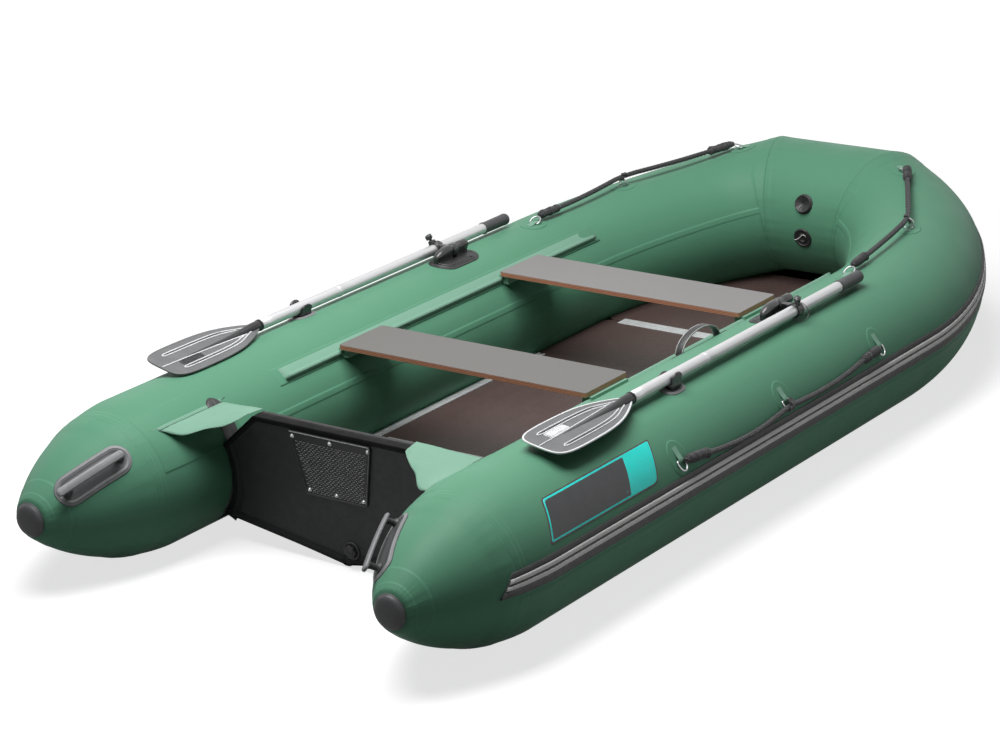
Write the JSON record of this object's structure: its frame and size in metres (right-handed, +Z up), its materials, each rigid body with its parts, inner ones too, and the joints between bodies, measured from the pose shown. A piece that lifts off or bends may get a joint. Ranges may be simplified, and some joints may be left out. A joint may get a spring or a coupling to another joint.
{
  "type": "inflatable boat",
  "caption": "Inflatable boat with round side tubes joined at a raised bow, plywood floor, wooden transom, sliding bench seats, clamp-on oars and grab lines.",
  "frame": {"origin": "on the ground under the middle of the boat's bounding box, where it stands on its two side tubes", "axes": "+Y towards the bow, +X to starboard, +Z up"},
  "size_m": [1.57, 3.3035, 0.525],
  "materials": {
    "tube_fabric": "matt green coated fabric",
    "bottom_fabric": "matt charcoal coated fabric",
    "light_fabric": "matt light green coated fabric",
    "strake_rubber": "matt black rubber with two pale lines",
    "cap_rubber": "satin black moulded rubber",
    "floor_plywood": "dark brown film-faced plywood, fine speckle",
    "aluminium": "satin anodised",
    "transom_plywood": "matt black film-faced plywood",
    "motor_plate": "ribbed black plastic",
    "bench_plywood": "grey-brown laminate over plywood with bare brown edges",
    "black_plastic": "satin black",
    "blade_plastic": "satin grey",
    "ring_steel": "polished stainless wire",
    "rope": "black braided cord",
    "webbing": "black webbing with pale edge lines",
    "blank_plate": "charcoal sheet, blank"
  },
  "bodies": {
    "hull": {"blank_plates": "blank_plate", "bottom_skin": "bottom_fabric", "bow_cross": "tube_fabric", "bow_eye": "light_fabric", "bow_side_port": "tube_fabric", "bow_side_starboard": "tube_fabric", "cone_cap_port": "cap_rubber", "cone_cap_starboard": "cap_rubber", "cone_port": "tube_fabric", "cone_starboard": "tube_fabric", "drain_plug": "black_plastic", "floor_board_1": "floor_plywood", "floor_board_2": "floor_plywood", "floor_board_3": "floor_plywood", "floor_board_bow": "floor_plywood", "floor_joiners": "aluminium", "grab_line_bow_port": "rope", "grab_line_bow_starboard": "rope", "grab_line_side_port": "rope", "grab_line_side_starboard": "rope", "grab_strap": "webbing", "gusset_port": "light_fabric", "gusset_starboard": "light_fabric", "keel_strip": "strake_rubber", "line_rings": "ring_steel", "motor_plate_inner": "motor_plate", "motor_plate_outer": "motor_plate", "oar_clips": "cap_rubber", "ring_patches": "light_fabric", "rowlock_base_port": "cap_rubber", "rowlock_base_starboard": "cap_rubber", "seat_rails": "light_fabric", "stern_handle_port": "cap_rubber", "stern_handle_starboard": "cap_rubber", "strake_bow": "strake_rubber", "strake_port": "strake_rubber", "strake_starboard": "strake_rubber", "stringers": "aluminium", "transom": "transom_plywood", "transom_flanges": "cap_rubber", "tube_port": "tube_fabric", "tube_starboard": "tube_fabric", "valves": "black_plastic"},
    "oar_port": {"oar_blade_port": "blade_plastic", "oar_clamp_port": "black_plastic", "oar_grip_port": "black_plastic", "oar_shaft_port": "aluminium"},
    "oar_starboard": {"oar_blade_starboard": "blade_plastic", "oar_clamp_starboard": "black_plastic", "oar_grip_starboard": "black_plastic", "oar_shaft_starboard": "aluminium"},
    "bench_aft": {"bench_aft": "bench_plywood", "bench_aft_runners": "black_plastic"},
    "bench_fore": {"bench_fore": "bench_plywood", "bench_fore_runners": "black_plastic"}
  },
  "joints": [
    {"name": "oar_lift_starboard", "type": "hinge", "parent": "hull", "child": "oar_starboard", "pos_m": [0.56, 0.205, 0.447], "axis": [0, -1, 0], "range_deg": [0, 80]},
    {"name": "oar_lift_port", "type": "hinge", "parent": "hull", "child": "oar_port", "pos_m": [-0.56, 0.205, 0.447], "axis": [0, 1, 0], "range_deg": [0, 80]},
    {"name": "bench_slide_aft", "type": "slide", "parent": "hull", "child": "bench_aft", "axis": [0, 1, 0], "range_m": [-0.215, 0.265]},
    {"name": "bench_slide_fore", "type": "slide", "parent": "hull", "child": "bench_fore", "axis": [0, 1, 0], "range_m": [-0.267, 0.26]}
  ]
}
